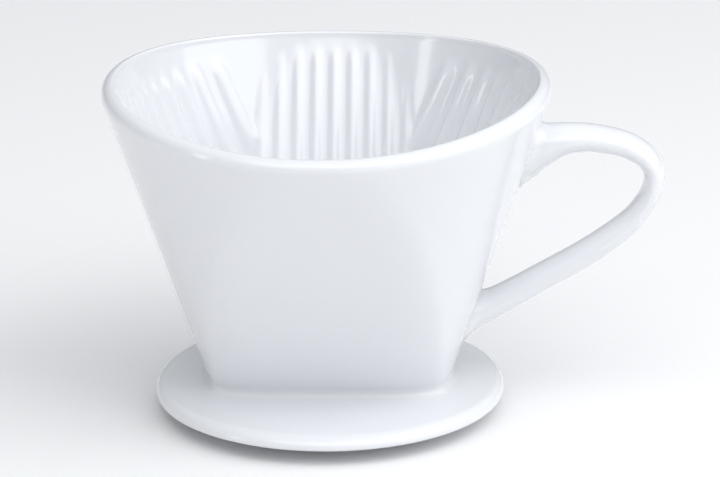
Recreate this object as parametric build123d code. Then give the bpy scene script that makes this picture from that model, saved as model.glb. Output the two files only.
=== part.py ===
"""A porcelain pour-over dripper that holds a wedge-shaped paper filter.

A round-mouthed cone is pinched by two sloping flats, front and back, so that it ends in an oblong
floor with a drain hole. Ribs stand on the inside of the wall and keep the paper off it. The cone
stands in a round flange that rests on a mug, a ring under the flange drops into the mug's mouth, and
a loop handle is luted to one narrow side.

Frame: millimetres, +Z up along the drip axis, +X towards the handle. Z = 0 is the flange's underside,
where it rests on the mug, and the locating ring hangs below it. The object is mirrored about XZ.
"""

from build123d import *
from math import cos, exp, radians, tan
import os

# ---- Driving dimensions -------------------------------------------------------------------------
MOUTH_RADIUS = 70.0  # outside of the rim
SEAT_RADIUS = 36.7  # the cone's round sides at the flange's underside
WALL = 4.7  # thickness of the cone's wall, square to its surface
RING_DEPTH = 5.0  # how far the locating ring drops below the flange
SEAT_Z = 0.0  # underside of the flange, which rests on the mug
RIM_TOP_Z = SEAT_Z + 104.2  # highest point of the rim, over the handle and opposite it
RIM_DIP = 5.0  # how much lower the rim is at the front and back
LIP_OUTER_ROUND = 3.4
LIP_INNER_ROUND = 1.3
SIDE_ANGLE = 18.6  # slope of the round sides from the vertical, degrees
FLAT_ANGLE = 28.4  # slope of the front and back flats from the vertical, degrees
FLAT_SEAT_DEPTH = 16.7  # half the cone's depth, front to back, at the flange's underside
OUTER_CREASE_ROUND = 11.0  # where a flat meets the round sides, outside
INNER_CREASE_ROUND = 6.0  # and inside

FLOOR_THICKNESS = 4.5
DRAIN_RADIUS = 3.0
DRAIN_MOUTH_RADIUS = 4.2  # top of the drain's countersink

FLANGE_RADIUS = 55.5
FLANGE_EDGE = 4.4  # thickness near the outer edge
FLANGE_ROOT = 5.0  # thickness where the cone comes out of it
FLANGE_TOP_ROUND = 3.0
FLANGE_FOOT_ROUND = 1.2
COLLAR = 2.2  # rise and run of the collar around the cone

RING_RADIUS = 30.0
RING_WALL = 4.2
RING_ROUND = 1.1
RELIEF_RADIUS = 31.2  # shallow relief around the ring's root, so that a mug's rim seats flat
RELIEF_DEPTH = 0.5
RING_NECK = 0.5  # how much narrower the ring is inside the relief

RIB_WIDTH = 2.9
RIB_HEIGHT = 1.15
RIB_EMBED = 1.0  # how far the ribs run on into the wall, so that they fuse with it
FLAT_RIB_PITCH = 5.9
FLAT_RIBS_EACH_SIDE = 4  # beside the middle one
SIDE_RIB_PITCH = 5.8
SIDE_RIBS_EACH_SIDE = 9  # beside the middle one
FLAT_RIB_TOP_GAP = 3.0  # clear band between the rim and the flats' ribs
SIDE_RIB_TOP_GAP = 6.0  # clear band between the rim and the side ribs
SIDE_RIB_FAN_Z = SEAT_Z - 294.0  # height of the line where the side ribs' planes would meet

HANDLE_HALF_THICKNESS = 4.1
HANDLE_TIP_THINNING = 0.8  # how much less the half thickness is at the tip of the loop
HANDLE_HALF_WIDTH = 7.0
HANDLE_SECTIONS = 18
# Centreline in the XZ plane, from inside the wall at the upper root round to the lower root.
HANDLE_PATH = [
    (57.0, SEAT_Z + 78.4),
    (67.5, SEAT_Z + 82.4),
    (77.3, SEAT_Z + 84.6),
    (87.7, SEAT_Z + 83.9),
    (96.6, SEAT_Z + 80.9),
    (101.6, SEAT_Z + 76.3),
    (102.6, SEAT_Z + 70.8),
    (98.4, SEAT_Z + 61.2),
    (90.4, SEAT_Z + 53.1),
    (64.0, SEAT_Z + 36.4),
    (38.0, SEAT_Z + 22.0),
]
UPPER_FLARE = 5.6  # extra half thickness at the upper root
LOWER_FLARE = 0.9  # extra half thickness at the lower root
ROOT_SPREAD = 1.6  # extra half width at both roots

# ---- Worked-out sizes -----------------------------------------------------------------------------
SIDE_SLOPE = tan(radians(SIDE_ANGLE))
FLAT_SLOPE = tan(radians(FLAT_ANGLE))
BIG = 400.0  # larger than any part of the object, for cutting tools
INSIDE_STEP = WALL / cos(radians(SIDE_ANGLE))  # level distance through the round sides
FLAT_STEP = WALL / cos(radians(FLAT_ANGLE))  # level distance through the flats
FLOOR_TOP_Z = SEAT_Z + FLOOR_THICKNESS
CLEAR_OF_RIM_Z = RIM_TOP_Z + 10.0


def side_radius(z):
    """Outside radius of the round sides at height z."""
    return SEAT_RADIUS + (z - SEAT_Z) * SIDE_SLOPE


def flat_depth(z):
    """Outside half depth of the flats at height z."""
    return FLAT_SEAT_DEPTH + (z - SEAT_Z) * FLAT_SLOPE


def pinched_cone(z_low, inset, flat_inset, crease_round):
    """The cone from a height to above the rim, pinched by its flats and inset by level distances."""
    below = SEAT_Z - 5.0
    round_cone = Solid.make_cone(
        side_radius(below) - inset,
        side_radius(CLEAR_OF_RIM_Z) - inset,
        CLEAR_OF_RIM_Z - below,
        Plane.XY.offset(below),
    )
    pinched = round_cone & between_flats(below, CLEAR_OF_RIM_Z, flat_inset)
    creases = pinched.edges().filter_by(lambda e: e.bounding_box().size.Z > RIM_TOP_Z / 2)
    creases = creases.filter_by(lambda e: e.geom_type != GeomType.CIRCLE)
    rounded = fillet(creases, crease_round)
    return rounded & Location((0, 0, z_low + BIG / 2)) * Box(BIG, BIG, BIG)


def between_flats(z_low, z_high, flat_inset):
    """The wedge-shaped room between the front and back flats."""
    low, high = flat_depth(z_low) - flat_inset, flat_depth(z_high) - flat_inset
    outline = Polyline((-low, z_low), (low, z_low), (high, z_high), (-high, z_high), close=True)
    return extrude(Plane.YZ * make_face(outline), BIG / 2, both=True)


def under_the_rim(gap=0.0):
    """Everything below the rim's dipped top, lowered by gap: a large level cylinder along X."""
    radius = MOUTH_RADIUS**2 / (2 * RIM_DIP)
    axis = Location((0, 0, RIM_TOP_Z - gap - radius), (0, 90, 0))
    return axis * Cylinder(radius, BIG)


def outside():
    """The cone's outer shape from the seat to above the rim."""
    return pinched_cone(SEAT_Z, 0.0, 0.0, OUTER_CREASE_ROUND)


def inside(low=SEAT_Z, rib=0.0, embed=0.0):
    """The cone's hollow from a height up, less the ribs' layer, or grown a little into the wall."""
    round_step = INSIDE_STEP + (rib - embed) / cos(radians(SIDE_ANGLE))
    flat_step = FLAT_STEP - embed / cos(radians(FLAT_ANGLE))
    return pinched_cone(low, round_step, flat_step, INNER_CREASE_ROUND)


def cone_wall():
    """The wall and floor of the cone, with a rounded rim and a countersunk drain hole."""
    wall = (outside() - inside(FLOOR_TOP_Z)) & under_the_rim()
    wall = fillet(rim_edges(wall, outermost=True), LIP_OUTER_ROUND)
    wall = fillet(rim_edges(wall, outermost=False), LIP_INNER_ROUND)
    sink_depth = DRAIN_MOUTH_RADIUS - DRAIN_RADIUS
    sink_seat = Plane.XY.offset(FLOOR_TOP_Z - sink_depth)
    sink = Solid.make_cone(DRAIN_RADIUS, DRAIN_MOUTH_RADIUS, sink_depth, sink_seat)
    return wall - Cylinder(DRAIN_RADIUS, BIG) - sink - relief()


def rim_edges(wall, outermost):
    """The outer or the inner edge of the rim's dipped top face."""
    top = wall.faces().filter_by(lambda f: f.center().Z > RIM_TOP_Z - 2 * RIM_DIP).sort_by(Axis.Z)[-1]
    wires = sorted(top.wires(), key=lambda w: w.length)
    return (wires[-1] if outermost else wires[0]).edges()


def flat_ribs(side):
    """Ribs on one flat, upright in planes across X. Side is -1 for the front, 1 for the back.

    Their crests lie in one plane, so the outer ribs end lower on the round wall, in an arch.
    """
    crest_step = FLAT_STEP + RIB_HEIGHT / cos(radians(FLAT_ANGLE))
    room = inside(FLOOR_TOP_Z - RIB_EMBED, embed=RIB_EMBED)
    layer = room - between_flats(SEAT_Z, 2 * RIM_TOP_Z, crest_step)
    layer &= under_the_rim(FLAT_RIB_TOP_GAP)
    ribs = []
    for step in range(-FLAT_RIBS_EACH_SIDE, FLAT_RIBS_EACH_SIDE + 1):
        slab = Location((step * FLAT_RIB_PITCH, side * BIG / 2, 0)) * Box(RIB_WIDTH, BIG, BIG)
        ribs += (layer & slab).solids()
    return ribs


def side_ribs(side):
    """Ribs on one round side. Side is 1 for the handle's side, -1 for the far side.

    Each lies in a plane along X that leans in slightly, and ends where it meets a flat's ribs.
    """
    room = inside(FLOOR_TOP_Z - RIB_EMBED, embed=RIB_EMBED)
    layer = room - inside(rib=RIB_HEIGHT)
    layer &= under_the_rim(SIDE_RIB_TOP_GAP)
    ribs = []
    for step in range(-SIDE_RIBS_EACH_SIDE, SIDE_RIBS_EACH_SIDE + 1):
        lean = Plane(
            origin=(side * BIG / 2, 0, SIDE_RIB_FAN_Z),
            x_dir=(1, 0, 0),
            z_dir=(0, step * SIDE_RIB_PITCH, RIM_TOP_Z - SIDE_RIB_FAN_Z),
        )
        slab = lean * Box(BIG, RIB_WIDTH, 3 * BIG)
        ribs += (layer & slab).solids()
    return ribs


def cone_body():
    """The cone as it leaves its mould: wall, floor and all the ribs in one."""
    ribs = flat_ribs(-1) + flat_ribs(1) + side_ribs(-1) + side_ribs(1)
    return cone_wall().fuse(*ribs)


def base_flange():
    """The round flange that rests on the mug, with a low collar around the cone."""
    edge_top = SEAT_Z + FLANGE_EDGE
    top_x = FLANGE_RADIUS - FLANGE_TOP_ROUND
    foot_x = FLANGE_RADIUS - FLANGE_FOOT_ROUND
    half = make_face(
        Polyline((0, SEAT_Z), (foot_x, SEAT_Z))
        + RadiusArc((foot_x, SEAT_Z), (FLANGE_RADIUS, SEAT_Z + FLANGE_FOOT_ROUND), -FLANGE_FOOT_ROUND)
        + Line((FLANGE_RADIUS, SEAT_Z + FLANGE_FOOT_ROUND), (FLANGE_RADIUS, edge_top - FLANGE_TOP_ROUND))
        + RadiusArc((FLANGE_RADIUS, edge_top - FLANGE_TOP_ROUND), (top_x, edge_top), -FLANGE_TOP_ROUND)
        + Polyline(
            (top_x, edge_top),
            (SEAT_RADIUS, SEAT_Z + FLANGE_ROOT),
            (0, SEAT_Z + FLANGE_ROOT),
            (0, SEAT_Z),
        )
    )
    disc = revolve(Plane.XZ * half, Axis.Z)
    return with_collar(disc) - outside() - relief()


def with_collar(disc):
    """The disc and the cone's outer shape as one, with a hollow rounding where they meet."""
    joined = disc + outside()
    foot = joined.edges().filter_by(lambda e: on_the_foot(e.bounding_box()))
    return fillet(foot, COLLAR)


def on_the_foot(box):
    """Whether an edge's box lies on the line where the cone comes out of the flange."""
    above = box.min.Z > SEAT_Z + FLANGE_EDGE / 2
    below = box.max.Z < SEAT_Z + FLANGE_ROOT + 1.0
    return above and below and max(abs(box.min.X), abs(box.max.X)) < SEAT_RADIUS + 2 * COLLAR


def relief():
    """The shallow round recess in the underside that the locating ring is luted into."""
    return Location((0, 0, SEAT_Z)) * Cylinder(RELIEF_RADIUS, 2 * RELIEF_DEPTH)


def locating_ring():
    """The ring under the flange that keeps the dripper in the middle of the mug."""
    ring = Location((0, 0, SEAT_Z - RING_DEPTH / 2)) * Cylinder(RING_RADIUS, RING_DEPTH)
    ring += Location((0, 0, SEAT_Z)) * Cylinder(RING_RADIUS - RING_NECK, 2 * RELIEF_DEPTH)
    ring -= Cylinder(RING_RADIUS - RING_WALL, BIG)
    foot_edges = ring.edges().filter_by(lambda e: e.center().Z < SEAT_Z - RING_DEPTH / 2)
    return fillet(foot_edges.filter_by(GeomType.CIRCLE), RING_ROUND)


def handle():
    """The loop handle: oval sections along a bent path, flared at both roots, cut to the wall."""
    path = Plane.XZ * Spline(*HANDLE_PATH)
    sections = []
    for step in range(HANDLE_SECTIONS):
        along = step / (HANDLE_SECTIONS - 1)
        upper, lower = exp(-((along / 0.10) ** 2)), exp(-(((1 - along) / 0.12) ** 2))
        tip = exp(-(((along - 0.42) / 0.13) ** 2))
        thickness = HANDLE_HALF_THICKNESS + UPPER_FLARE * upper + LOWER_FLARE * lower
        thickness -= HANDLE_TIP_THINNING * tip
        width = HANDLE_HALF_WIDTH + ROOT_SPREAD * (upper + lower)
        square_to_path = Plane(path @ along, x_dir=(0, 1, 0), z_dir=path % along)
        sections.append(square_to_path * Ellipse(width, thickness))
    return loft(sections) - outside()


def build():
    """Every sub-part by name."""
    return {
        "cone_body": cone_body(),
        "base_flange": base_flange(),
        "locating_ring": locating_ring(),
        "handle": handle(),
    }


os.makedirs("parts", exist_ok=True)
for node, shape in build().items():
    export_step(shape, f"parts/{node}.step")
    print(node, len(shape.solids()), "solids", round(shape.volume), "mm3")
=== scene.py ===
"""The looks of the porcelain pour-over dripper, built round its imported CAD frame. Metres, +Z up.

The cone, the flange and the ring start as flat outlines that are spun round the drip axis, as on a
wheel. The cone and the flange are then pinched to the front and back flats, and the ribs are raised
on the cone's inside. The handle is pulled from a ring that is extruded along its path.
"""

from math import cos, degrees, pi, radians, sin, tan

import bpy
import numpy as np
from mathutils import Matrix, Vector


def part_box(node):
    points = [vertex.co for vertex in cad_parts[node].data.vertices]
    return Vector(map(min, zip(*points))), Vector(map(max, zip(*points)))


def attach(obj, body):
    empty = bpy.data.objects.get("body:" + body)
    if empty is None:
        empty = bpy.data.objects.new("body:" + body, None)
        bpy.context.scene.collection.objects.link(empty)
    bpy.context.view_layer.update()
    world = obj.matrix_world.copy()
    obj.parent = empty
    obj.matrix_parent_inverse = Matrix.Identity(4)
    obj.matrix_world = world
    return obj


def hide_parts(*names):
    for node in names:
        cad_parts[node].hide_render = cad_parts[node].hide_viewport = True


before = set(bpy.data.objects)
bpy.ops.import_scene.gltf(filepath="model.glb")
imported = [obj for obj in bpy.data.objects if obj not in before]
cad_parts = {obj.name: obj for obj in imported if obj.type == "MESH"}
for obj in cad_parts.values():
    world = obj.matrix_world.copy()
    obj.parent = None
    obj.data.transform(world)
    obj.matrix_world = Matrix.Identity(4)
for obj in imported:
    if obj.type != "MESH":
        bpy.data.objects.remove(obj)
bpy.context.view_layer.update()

# ---- The dripper's dimensions ---------------------------------------------------------------------
FLANGE_LOW, FLANGE_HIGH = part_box("base_flange")
RING_LOW, RING_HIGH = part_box("locating_ring")

SEAT_Z = FLANGE_LOW.z  # the flange's underside
RIM_TOP_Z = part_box("cone_body")[1].z
RIM_DIP = 0.0050  # how much lower the rim is at the front and back
WALL = 0.0047
LIP_OUTER = 0.0034  # rounding of the lip's outer edge
LIP_INNER = 0.0013
SIDE_ANGLE = radians(18.6)
FLAT_ANGLE = radians(28.4)
SIDE_SLOPE = tan(SIDE_ANGLE)
FLAT_SLOPE = tan(FLAT_ANGLE)
SEAT_RADIUS = 0.0367  # the round sides' radius at the flange's underside
SEAT_DEPTH = 0.0167  # the flats' half depth there
ROUND_WALL = WALL / cos(SIDE_ANGLE)  # level distance through the round sides
FLAT_WALL = WALL / cos(FLAT_ANGLE)  # level distance through the flats
FLOOR_Z = SEAT_Z + 0.0045
FLOOR_CORNER = 0.0022
DRAIN_RADIUS = 0.0030
DRAIN_MOUTH = 0.0042
OUTER_CREASE = (0.0018, 0.0160)  # reach of the outer creases' rounding at the rim, more at the foot
INNER_CREASE = (0.0015, 0.0062)
CREASE_FALL = 0.032  # height over which the foot's extra rounding dies away

RIB_HEIGHT = 0.00115
RIB_SHARE = 0.86  # share of the pitch that a rib's rounded back takes
FLAT_RIB_PITCH = 0.0059
FLAT_RIBS = 4  # each side of the middle one
FLAT_RIB_TOP_GAP = 0.003
SIDE_RIB_PITCH = 0.0058
SIDE_RIBS = 9
SIDE_RIB_TOP_GAP = 0.006
RIB_FADE = 0.007  # height over which a rib's end dies into the wall
SIDE_RIB_FAN_Z = SEAT_Z - 0.294

FLANGE_RADIUS = FLANGE_HIGH.x
FLANGE_EDGE = 0.0044
FLANGE_ROOT = 0.0050
FLANGE_TOP_ROUND = 0.0030
FLANGE_FOOT_ROUND = 0.0012
COLLAR = 0.0032
COLLAR_TAIL = 0.0015  # the collar's top edge runs on up the cone, just under its surface
COLLAR_SUNK = 0.00015

RING_RADIUS = RING_HIGH.x
RING_WALL = 0.0042

HANDLE_THICKNESS = 0.0041  # half of it
HANDLE_TIP_THINNING = 0.0008
HANDLE_WIDTH = 0.0070  # half of it
HANDLE_PATH = [
    (0.0570, 0.0784), (0.0675, 0.0824), (0.0773, 0.0846), (0.0877, 0.0839), (0.0966, 0.0809),
    (0.1016, 0.0763), (0.1026, 0.0708), (0.0984, 0.0612), (0.0904, 0.0531), (0.0640, 0.0364),
    (0.0380, 0.0220),
]
UPPER_FLARE = 0.0056
LOWER_FLARE = 0.0009
ROOT_SPREAD = 0.0016
ROOT_FILLET = 0.0013  # how far the slip at the handle's roots stands out
ROOT_REACH = 0.0030  # and how far along the handle it reaches
ROOT_SUNK = 0.0015  # how deep the handle's ends lie in the cone's wall

AROUND = 540  # faces round the cone
ALONG_WALL = 90  # rings of faces up the cone's inside, where the ribs are
SHARP_CORNER = radians(50)  # corners sharper than this aren't shaded as one surface

# ---- The studio's light, in watts and as brightness of the room -----------------------------------
KEY_POWER = 8.3
FRONT_POWER = 6.0
STRIP_POWER = 0.9
ROOM_TOP = 1.05  # overhead
ROOM_LOW = 0.40  # at floor level
ROOM_LEFT = 0.55  # share of the brightness on the left

# ---- The camera: where it stands, and where it looks ----------------------------------------------
CAMERA_DISTANCE = 1.5
CAMERA_TURN = radians(2.6)  # towards the handle
CAMERA_RISE = radians(19.2)
CAMERA_ROLL = radians(0.54)
AIM_RIGHT = 0.0100
AIM_DOWN = 0.00126
LENS = 237.3  # millimetres, on a 36 mm sensor
SENSOR = 36

# ---- The glaze's specks ---------------------------------------------------------------------------
SPECK_GRAIN = 55  # cells to the metre that may hold a speck
SPECK_EDGE = (0.016, 0.008)  # where a speck fades out and where it is full, as a share of its cell
SPECK_FREE = 0.86  # share of the cells without a speck
WAVE_BUMP = 0.0006  # height of the glaze's waviness at full depth
GLOSS = (0.10, 0.20)  # roughness of the glaze, least and most


# ---- Modelling helpers ----------------------------------------------------------------------------
def select_none():
    """Nothing selected and object mode, ready for the next operator."""
    if bpy.context.object and bpy.context.object.mode != "OBJECT":
        bpy.ops.object.mode_set(mode="OBJECT")
    bpy.ops.object.select_all(action="DESELECT")


def arc(centre, radii, start, stop, steps):
    """Points on an upright ellipse's arc, angles in degrees."""
    turns = [radians(start + (stop - start) * k / steps) for k in range(steps + 1)]
    return [(centre[0] + radii[0] * cos(t), centre[1] + radii[1] * sin(t)) for t in turns]


def line(start, stop, steps):
    """Points from start towards stop, without the last one."""
    return [
        (start[0] + (stop[0] - start[0]) * k / steps, start[1] + (stop[1] - start[1]) * k / steps)
        for k in range(steps)
    ]


def spun(name, outline, around):
    """A closed outline of (radius, height) points, turned once round the drip axis."""
    select_none()
    bpy.ops.mesh.primitive_circle_add(vertices=len(outline), radius=RING_RADIUS)
    piece = bpy.context.object
    piece.name = piece.data.name = name
    for vertex, (radius, height) in zip(piece.data.vertices, outline):
        vertex.co = (radius, 0, height)
    bpy.ops.object.mode_set(mode="EDIT")
    bpy.ops.mesh.select_all(action="SELECT")
    bpy.ops.mesh.spin(steps=around, angle=2 * pi, center=(0, 0, 0), axis=(0, 0, 1))
    bpy.ops.mesh.select_all(action="SELECT")
    bpy.ops.mesh.remove_doubles(threshold=1e-6)
    bpy.ops.mesh.normals_make_consistent(inside=False)
    bpy.ops.object.mode_set(mode="OBJECT")
    return piece


def reshape(piece, rule):
    """Moves the piece's vertices: rule takes and gives arrays of turn, radius and height."""
    places = np.empty(len(piece.data.vertices) * 3)
    piece.data.vertices.foreach_get("co", places)
    x, y, z = places.reshape(-1, 3).T
    turn, radius, height = rule(np.arctan2(y, x), np.hypot(x, y), z)
    moved = np.stack([radius * np.cos(turn), radius * np.sin(turn), height], axis=1)
    piece.data.vertices.foreach_set("co", moved.ravel())
    piece.data.update()


def finish_piece(piece, node, finish):
    """Gives the piece its shading and finish, and lets it stand for its CAD node."""
    select_none()
    piece.select_set(True)
    bpy.context.view_layer.objects.active = piece
    bpy.ops.object.shade_smooth_by_angle(angle=SHARP_CORNER)
    piece.data.materials.clear()
    piece.data.materials.append(finish)
    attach(piece, "root")
    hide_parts(node)


# ---- The cone's surfaces --------------------------------------------------------------------------
def lesser(a, b, reach):
    """The smaller of two radii, with a rounding where they meet."""
    near = np.clip(1 - np.abs(a - b) / reach, 0, 1)
    return np.minimum(a, b) - near * near * reach / 4


def round_radius(height):
    """Outside radius of the round sides."""
    return SEAT_RADIUS + (height - SEAT_Z) * SIDE_SLOPE


def flat_depth(height):
    """Outside half depth of the flats."""
    return SEAT_DEPTH + (height - SEAT_Z) * FLAT_SLOPE


def crease(reach, height):
    """How far a crease's rounding reaches: widest at the foot, nearly sharp at the rim."""
    return reach[0] + reach[1] * np.exp(-(height - SEAT_Z) / CREASE_FALL)


def outer_radius(turn, height, spread=0.0):
    """The pinched cone's outside, or a surface that stands off it by spread."""
    flat = (flat_depth(height) + spread) / np.maximum(np.abs(np.sin(turn)), 1e-3)
    return lesser(round_radius(height) + spread, flat, crease(OUTER_CREASE, height))


def rib_back(across, pitch, count):
    """The height, 0 to 1, of a row of rounded ribs at a distance across them."""
    nearest = np.clip(np.round(across / pitch), -count, count)
    off = np.clip(np.abs(across - nearest * pitch) / (pitch * RIB_SHARE / 2), 0, 1)
    return 0.5 + 0.5 * np.cos(pi * off)


def rib_end(height, gap):
    """Brings a rib's height down to nothing below the rim, with a soft end."""
    fade = np.clip((RIM_TOP_Z - gap - height) / RIB_FADE, 0, 1)
    return fade * fade * (3 - 2 * fade)


def inner_radius(turn, height):
    """The pinched cone's inside, with its ribs."""
    steepness = np.maximum(np.abs(np.sin(turn)), 1e-3)
    reach = crease(INNER_CREASE, height)
    plain_side, plain_flat = round_radius(height) - ROUND_WALL, flat_depth(height) - FLAT_WALL
    side_height = RIB_HEIGHT / cos(SIDE_ANGLE) * rib_end(height, SIDE_RIB_TOP_GAP)
    flat_height = RIB_HEIGHT / cos(FLAT_ANGLE) * rib_end(height, FLAT_RIB_TOP_GAP)
    radius = lesser(plain_side, plain_flat / steepness, reach)
    for _ in range(3):  # the ribs' places depend on the radius, which settles in a few rounds
        fanned = radius * np.sin(turn) * (RIM_TOP_Z - SIDE_RIB_FAN_Z) / (height - SIDE_RIB_FAN_Z)
        side = plain_side - side_height * rib_back(fanned, SIDE_RIB_PITCH, SIDE_RIBS)
        across = radius * np.cos(turn)
        flat = plain_flat - flat_height * rib_back(across, FLAT_RIB_PITCH, FLAT_RIBS)
        radius = lesser(side, flat / steepness, reach)
    return radius


def pinch(turn, radius, height):
    """Takes a vertex of the round cone to its place on the pinched one, with its dipped rim."""
    round_out = round_radius(height)
    round_in = round_out - ROUND_WALL
    inside, outside = inner_radius(turn, height), outer_radius(turn, height)
    through = np.clip((radius - round_in) / (round_out - round_in), -1, 1.5)
    in_wall = inside + (outside - inside) * through
    along_floor = (radius - DRAIN_MOUTH) / (round_in - DRAIN_MOUTH)
    on_floor = np.where(
        radius > DRAIN_MOUTH, DRAIN_MOUTH + (inside - DRAIN_MOUTH) * along_floor, radius
    )
    lift = np.clip((height - SEAT_Z) / (RIM_TOP_Z - SEAT_Z), 0, 1) ** 3
    dipped = height - RIM_DIP * np.sin(turn) ** 2 * lift
    return turn, np.where(radius >= round_in, in_wall, on_floor), dipped


# ---- The pieces -----------------------------------------------------------------------------------
def cone_body(finish):
    """The cone: floor, inner wall, lip, outer wall and underside, spun and then pinched."""
    out_z, in_z = RIM_TOP_Z - LIP_OUTER, RIM_TOP_Z - LIP_INNER
    lip_x = round_radius(out_z) - LIP_OUTER / cos(SIDE_ANGLE)
    lip_in = round_radius(in_z) - ROUND_WALL
    lean = degrees(SIDE_ANGLE)
    corner_z = FLOOR_Z + FLOOR_CORNER
    corner_in = round_radius(corner_z) - ROUND_WALL
    outline = line((DRAIN_RADIUS, SEAT_Z), (DRAIN_RADIUS, FLOOR_Z - DRAIN_MOUTH + DRAIN_RADIUS), 3)
    outline += line((DRAIN_RADIUS, FLOOR_Z - DRAIN_MOUTH + DRAIN_RADIUS), (DRAIN_MOUTH, FLOOR_Z), 3)
    outline += line((DRAIN_MOUTH, FLOOR_Z), (corner_in - FLOOR_CORNER, FLOOR_Z), 9)
    outline += arc((corner_in - FLOOR_CORNER, corner_z), (FLOOR_CORNER, FLOOR_CORNER), -90, 0, 5)[:-1]
    outline += line((corner_in, corner_z), (lip_in, in_z), ALONG_WALL)
    outline += arc((lip_x, in_z), (lip_x - lip_in, LIP_INNER), 180, 90, 6)[:-1]
    outline += arc((lip_x, out_z), (LIP_OUTER, LIP_OUTER), 90, -lean, 12)
    foot_x, foot_z = outline.pop()
    outline += line((foot_x, foot_z), (SEAT_RADIUS, SEAT_Z), 44)
    outline += line((SEAT_RADIUS, SEAT_Z), (DRAIN_RADIUS, SEAT_Z), 6)
    piece = spun("glazed_cone", outline, AROUND)
    reshape(piece, pinch)
    finish_piece(piece, "cone_body", finish)


def base_flange(finish):
    """The flange, with a hollow fillet of glaze and slip that runs up the cone's foot."""
    edge_top, root_z = SEAT_Z + FLANGE_EDGE, SEAT_Z + FLANGE_ROOT
    foot_x, top_x = FLANGE_RADIUS - FLANGE_FOOT_ROUND, FLANGE_RADIUS - FLANGE_TOP_ROUND
    foot_z, shoulder_z = SEAT_Z + FLANGE_FOOT_ROUND, edge_top - FLANGE_TOP_ROUND
    sunk, root = SEAT_RADIUS - 0.001, SEAT_RADIUS + COLLAR
    outline = line((sunk, SEAT_Z), (foot_x, SEAT_Z), 12)
    outline += arc((foot_x, foot_z), (FLANGE_FOOT_ROUND, FLANGE_FOOT_ROUND), -90, 0, 6)
    outline += arc((top_x, shoulder_z), (FLANGE_TOP_ROUND, FLANGE_TOP_ROUND), 0, 90, 10)[:-1]
    outline += line((top_x, edge_top), (root, root_z), 14)
    outline += arc((root, root_z + COLLAR), (COLLAR, COLLAR), 270, 180, 10)
    collar_end = root_z + COLLAR + COLLAR_TAIL
    outline.append((SEAT_RADIUS - COLLAR_SUNK, collar_end))
    outline += line((sunk, collar_end), (sunk, SEAT_Z), 4)

    def fit_to_cone(turn, radius, height):
        standoff = radius - SEAT_RADIUS
        close = outer_radius(turn, height, standoff)
        far = np.clip((radius - root) / (FLANGE_RADIUS - root), 0, 1)
        spread = far ** 0.6
        return turn, close * (1 - spread) + radius * spread, height

    piece = spun("glazed_flange", outline, 360)
    reshape(piece, fit_to_cone)
    finish_piece(piece, "base_flange", finish)


def locating_ring(finish):
    """The ring under the flange, with a rounded foot."""
    inner = RING_RADIUS - RING_WALL
    half = RING_WALL / 2
    outline = line((inner, RING_HIGH.z), (inner, RING_LOW.z + 0.0015), 3)
    outline += arc((inner + half, RING_LOW.z + 0.0015), (half, 0.0015), 180, 360, 12)
    outline += line((RING_RADIUS, RING_LOW.z + 0.0020), (RING_RADIUS, RING_HIGH.z), 3)
    outline += line((RING_RADIUS, RING_HIGH.z), (inner, RING_HIGH.z), 3)
    piece = spun("bare_ring", outline, 192)
    finish_piece(piece, "locating_ring", finish)


def handle_line():
    """The handle's centreline as points and directions, read from a smooth curve."""
    curve = bpy.data.curves.new("handle path", "CURVE")
    curve.dimensions = "3D"
    spline = curve.splines.new("BEZIER")
    spline.bezier_points.add(len(HANDLE_PATH) - 1)
    for point, (x, z) in zip(spline.bezier_points, HANDLE_PATH):
        point.co = (x, 0, SEAT_Z + z)
        point.handle_left_type = point.handle_right_type = "AUTO"
    curve.resolution_u = 12
    holder = bpy.data.objects.new("handle path", curve)
    mesh = bpy.data.meshes.new_from_object(holder)
    points = [vertex.co.copy() for vertex in mesh.vertices]
    bpy.data.objects.remove(holder)
    return points


def handle_rings(points, around):
    """Oval sections along the path, flared at both roots and drawn out where they meet the wall."""
    lengths = np.cumsum([0] + [(b - a).length for a, b in zip(points, points[1:])])
    spin = np.arange(around) * 2 * pi / around
    rings = []
    for k, point in enumerate(points):
        ahead = points[min(k + 1, len(points) - 1)] - points[max(k - 1, 0)]
        out = Vector((-ahead.z, 0, ahead.x)).normalized()
        share = lengths[k] / lengths[-1]
        upper, lower = np.exp(-((share / 0.10) ** 2)), np.exp(-(((1 - share) / 0.12) ** 2))
        thick = HANDLE_THICKNESS + UPPER_FLARE * upper + LOWER_FLARE * lower
        thick -= HANDLE_TIP_THINNING * np.exp(-(((share - 0.42) / 0.13) ** 2))
        wide = HANDLE_WIDTH + ROOT_SPREAD * (upper + lower)
        slip = 0.0
        for _ in range(2):  # first without the slip, then with it
            rise, y = (thick + slip) * np.cos(spin), (wide + slip) * np.sin(spin)
            x, z = point.x + out.x * rise, point.z + out.z * rise
            turn, radius = np.arctan2(y, x), np.hypot(x, y)
            standoff = radius - outer_radius(turn, z)
            slip = ROOT_FILLET * np.clip(1 - standoff / ROOT_REACH, 0, 1) ** 2
        radius = np.maximum(radius, outer_radius(turn, z) - ROOT_SUNK)
        rings.append(np.stack([radius * np.cos(turn), radius * np.sin(turn), z], axis=1))
    return rings


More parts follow.
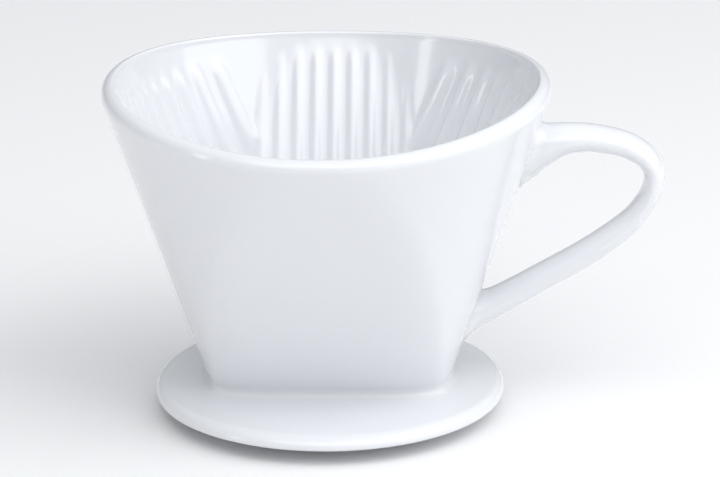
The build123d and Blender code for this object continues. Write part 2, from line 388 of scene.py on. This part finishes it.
def handle(finish):
    """The loop handle, an oval ring that is extruded along its path and shaped section by section."""
    around = 64
    rings = handle_rings(handle_line(), around)
    select_none()
    bpy.ops.mesh.primitive_circle_add(vertices=around, radius=HANDLE_WIDTH, fill_type="NGON")
    piece = bpy.context.object
    piece.name = piece.data.name = "glazed_handle"
    for vertex, place in zip(piece.data.vertices, rings[0]):
        vertex.co = place
    bpy.ops.object.mode_set(mode="EDIT")
    bpy.ops.mesh.select_all(action="SELECT")
    for _ in rings[1:]:
        bpy.ops.mesh.extrude_region_move()
    bpy.ops.object.mode_set(mode="OBJECT")
    piece.data.vertices.foreach_set("co", np.concatenate(rings).ravel())
    bpy.ops.object.mode_set(mode="EDIT")
    bpy.ops.mesh.select_all(action="SELECT")
    bpy.ops.mesh.normals_make_consistent(inside=False)
    bpy.ops.object.mode_set(mode="OBJECT")
    finish_piece(piece, "handle", finish)


# ---- Finishes -------------------------------------------------------------------------------------
def glaze_flow_and_shade():
    """A node group: the glaze's slow waviness, painted shade that darkens its hollows and creases and
    partly stands for pooled glaze, and sparse firing specks.
    """
    group = bpy.data.node_groups.new("glaze flow and painted shade", "ShaderNodeTree")
    sockets = group.interface
    for name, kind, start in (
        ("Crest Colour", "NodeSocketColor", (0.9, 0.9, 0.9, 1)),
        ("Pool And Shade Colour", "NodeSocketColor", (0.8, 0.8, 0.8, 1)),
        ("Speck Colour", "NodeSocketColor", (0.5, 0.5, 0.5, 1)),
        ("Wave Size", "NodeSocketFloat", 60.0),
        ("Wave Depth", "NodeSocketFloat", 0.1),
        ("Pool And Shade Reach", "NodeSocketFloat", 0.004),
    ):
        made = sockets.new_socket(name=name, in_out="INPUT", socket_type=kind)
        made.default_value = start
    for name, kind in (
        ("Colour", "NodeSocketColor"), ("Roughness", "NodeSocketFloat"), ("Normal", "NodeSocketVector")
    ):
        sockets.new_socket(name=name, in_out="OUTPUT", socket_type=kind)
    nodes, links = group.nodes, group.links
    given, out = nodes.new("NodeGroupInput"), nodes.new("NodeGroupOutput")
    place = nodes.new("ShaderNodeTexCoord")

    cloud = nodes.new("ShaderNodeTexNoise")
    cloud.inputs["Detail"].default_value = 3
    links.new(place.outputs["Object"], cloud.inputs["Vector"])
    links.new(given.outputs["Wave Size"], cloud.inputs["Scale"])

    # Painted shade: ambient occlusion mixes the darker pool colour into hollows, creases and the
    # grooves between the ribs, partly as the tint of pooled glaze.
    hollow = nodes.new("ShaderNodeAmbientOcclusion")
    hollow.samples = 8
    links.new(given.outputs["Pool And Shade Reach"], hollow.inputs["Distance"])
    pool_and_shade = nodes.new("ShaderNodeMix")
    pool_and_shade.data_type = "RGBA"
    links.new(hollow.outputs["AO"], pool_and_shade.inputs["Factor"])
    links.new(given.outputs["Pool And Shade Colour"], pool_and_shade.inputs["A"])
    links.new(given.outputs["Crest Colour"], pool_and_shade.inputs["B"])

    grain = nodes.new("ShaderNodeTexVoronoi")
    grain.inputs["Scale"].default_value = SPECK_GRAIN
    links.new(place.outputs["Object"], grain.inputs["Vector"])
    speck = nodes.new("ShaderNodeMapRange")
    speck.inputs["From Min"].default_value = SPECK_EDGE[0]
    speck.inputs["From Max"].default_value = SPECK_EDGE[1]
    links.new(grain.outputs["Distance"], speck.inputs["Value"])
    rare = nodes.new("ShaderNodeSeparateColor")
    links.new(grain.outputs["Color"], rare.inputs["Color"])
    few = nodes.new("ShaderNodeMath")
    few.operation = "GREATER_THAN"
    few.inputs[1].default_value = SPECK_FREE
    links.new(rare.outputs["Red"], few.inputs[0])
    shown = nodes.new("ShaderNodeMath")
    shown.operation = "MULTIPLY"
    links.new(speck.outputs["Result"], shown.inputs[0])
    links.new(few.outputs["Value"], shown.inputs[1])
    specked = nodes.new("ShaderNodeMix")
    specked.data_type = "RGBA"
    links.new(shown.outputs["Value"], specked.inputs["Factor"])
    links.new(pool_and_shade.outputs["Result"], specked.inputs["A"])
    links.new(given.outputs["Speck Colour"], specked.inputs["B"])

    rough = nodes.new("ShaderNodeMapRange")
    rough.inputs["To Min"].default_value = GLOSS[0]
    rough.inputs["To Max"].default_value = GLOSS[1]
    links.new(cloud.outputs["Fac"], rough.inputs["Value"])

    bump = nodes.new("ShaderNodeBump")
    bump.inputs["Distance"].default_value = WAVE_BUMP
    links.new(given.outputs["Wave Depth"], bump.inputs["Strength"])
    links.new(cloud.outputs["Fac"], bump.inputs["Height"])

    links.new(specked.outputs["Result"], out.inputs["Colour"])
    links.new(rough.outputs["Result"], out.inputs["Roughness"])
    links.new(bump.outputs["Normal"], out.inputs["Normal"])
    return group


def new_finish(name):
    """An empty material with a Principled shader."""
    material = bpy.data.materials.new(name)
    material.use_nodes = True
    return material, material.node_tree.nodes["Principled BSDF"]


def put_flow(material, shader, flow, crest, pool_and_shade, speck, size, depth, reach):
    """Places the glaze group in a material with its own values."""
    tree = material.node_tree
    node = tree.nodes.new("ShaderNodeGroup")
    node.node_tree = flow
    node.inputs["Crest Colour"].default_value = crest
    node.inputs["Pool And Shade Colour"].default_value = pool_and_shade
    node.inputs["Speck Colour"].default_value = speck
    node.inputs["Wave Size"].default_value = size
    node.inputs["Wave Depth"].default_value = depth
    node.inputs["Pool And Shade Reach"].default_value = reach
    tree.links.new(node.outputs["Colour"], shader.inputs["Base Color"])
    tree.links.new(node.outputs["Normal"], shader.inputs["Normal"])
    return node


def white_glaze(flow):
    """Clear glossy glaze over white porcelain."""
    material, shader = new_finish("white glaze")
    node = put_flow(
        material, shader, flow,
        # The pool colour is painted shade in hollows and between the ribs, partly the bluish tint of
        # pooled glaze.
        crest=(0.79, 0.80, 0.825, 1), pool_and_shade=(0.77, 0.78, 0.81, 1), speck=(0.50, 0.47, 0.45, 1),
        size=45.0, depth=0.06, reach=0.004,
    )
    material.node_tree.links.new(node.outputs["Roughness"], shader.inputs["Roughness"])
    shader.inputs["IOR"].default_value = 1.5
    shader.inputs["Subsurface Weight"].default_value = 0.12
    shader.inputs["Subsurface Radius"].default_value = (0.0030, 0.0028, 0.0026)
    shader.inputs["Subsurface Scale"].default_value = 1.0
    shader.inputs["Coat Weight"].default_value = 0.35
    shader.inputs["Coat Roughness"].default_value = 0.05
    return material


def bare_porcelain(flow):
    """Unglazed fired porcelain, matt and slightly warm."""
    material, shader = new_finish("bare porcelain")
    put_flow(
        material, shader, flow,
        # The much darker pool colour is painted shade in the ring's hollows and where it meets the
        # flange; the bare body has no glaze to pool.
        crest=(0.80, 0.77, 0.72, 1), pool_and_shade=(0.66, 0.62, 0.57, 1), speck=(0.45, 0.40, 0.36, 1),
        size=900.0, depth=0.35, reach=0.002,
    )
    shader.inputs["Roughness"].default_value = 0.75
    return material


def paper_white():
    """The matt white of the studio floor."""
    material, shader = new_finish("studio white")
    shader.inputs["Base Color"].default_value = (0.9, 0.9, 0.9, 1)
    shader.inputs["Roughness"].default_value = 0.9
    return material


# ---- Studio ---------------------------------------------------------------------------------------
def studio_floor():
    """A wide white floor under the locating ring."""
    select_none()
    bpy.ops.mesh.primitive_plane_add(size=6, location=(0, 0, RING_LOW.z))
    floor = bpy.context.object
    floor.name = "studio_floor"
    floor.data.materials.append(paper_white())


def softbox(name, place, aim, size, power):
    """An area light at a place, turned to its aim."""
    light = bpy.data.lights.new(name, "AREA")
    light.shape = "RECTANGLE"
    light.size, light.size_y = size
    light.energy = power
    lamp = bpy.data.objects.new(name, light)
    bpy.context.scene.collection.objects.link(lamp)
    lamp.location = place
    lamp.rotation_euler = (Vector(aim) - Vector(place)).to_track_quat("-Z", "Y").to_euler()


def room_light():
    """A pale room: bright overhead and on the right, dimmer low down and on the left."""
    world = bpy.data.worlds.new("pale room")
    bpy.context.scene.world = world
    world.use_nodes = True
    nodes, links = world.node_tree.nodes, world.node_tree.links
    place, parts = nodes.new("ShaderNodeTexCoord"), nodes.new("ShaderNodeSeparateXYZ")
    links.new(place.outputs["Generated"], parts.inputs["Vector"])
    overhead, sideways = nodes.new("ShaderNodeMapRange"), nodes.new("ShaderNodeMapRange")
    overhead.inputs["From Min"].default_value = 0.0
    overhead.inputs["To Min"].default_value = ROOM_LOW
    overhead.inputs["To Max"].default_value = ROOM_TOP
    links.new(parts.outputs["Z"], overhead.inputs["Value"])
    sideways.inputs["From Min"].default_value = -1.0
    sideways.inputs["To Min"].default_value = ROOM_LEFT
    links.new(parts.outputs["X"], sideways.inputs["Value"])
    both = nodes.new("ShaderNodeMath")
    both.operation = "MULTIPLY"
    links.new(overhead.outputs["Result"], both.inputs[0])
    links.new(sideways.outputs["Result"], both.inputs[1])
    sky = nodes["Background"]
    sky.inputs["Color"].default_value = (0.94, 0.965, 1.0, 1)
    links.new(both.outputs["Value"], sky.inputs["Strength"])


def lights():
    """The room, two large soft boxes, high right and high in front, and a narrow strip low left."""
    room_light()
    centre = (0, 0, RIM_TOP_Z / 2)
    softbox("key", (0.90, -0.35, 0.85), centre, (1.2, 1.2), KEY_POWER)
    softbox("front", (0, -0.75, 1.2), centre, (1.4, 1.0), FRONT_POWER)
    softbox("strip", (-0.95, -0.55, 0.28), centre, (0.14, 0.55), STRIP_POWER)


def camera():
    """A long lens, a little above the rim."""
    turn, rise = CAMERA_TURN, CAMERA_RISE
    middle = Vector((0, 0, RIM_TOP_Z / 2))
    back = Vector((sin(turn) * cos(rise), -cos(turn) * cos(rise), sin(rise)))
    eye = middle + back * CAMERA_DISTANCE
    right = Vector((cos(turn), sin(turn), 0))
    up = back.cross(right)
    aim = middle + right * AIM_RIGHT - up * AIM_DOWN
    lens = bpy.data.cameras.new("camera")
    lens.sensor_width = SENSOR
    lens.lens = LENS
    lens.clip_end = 50
    view = bpy.data.objects.new("camera", lens)
    bpy.context.scene.collection.objects.link(view)
    turned = (aim - eye).to_track_quat("-Z", "Y").to_matrix().to_4x4()
    view.matrix_world = Matrix.Translation(eye) @ turned @ Matrix.Rotation(-CAMERA_ROLL, 4, "Z")
    bpy.context.scene.camera = view


def main():
    """Builds every piece, its finish and the studio."""
    flow = glaze_flow_and_shade()
    glaze, bare = white_glaze(flow), bare_porcelain(flow)
    cone_body(glaze)
    base_flange(glaze)
    locating_ring(bare)
    handle(glaze)
    studio_floor()
    lights()
    camera()
    bpy.context.scene.view_settings.view_transform = "Standard"


main()
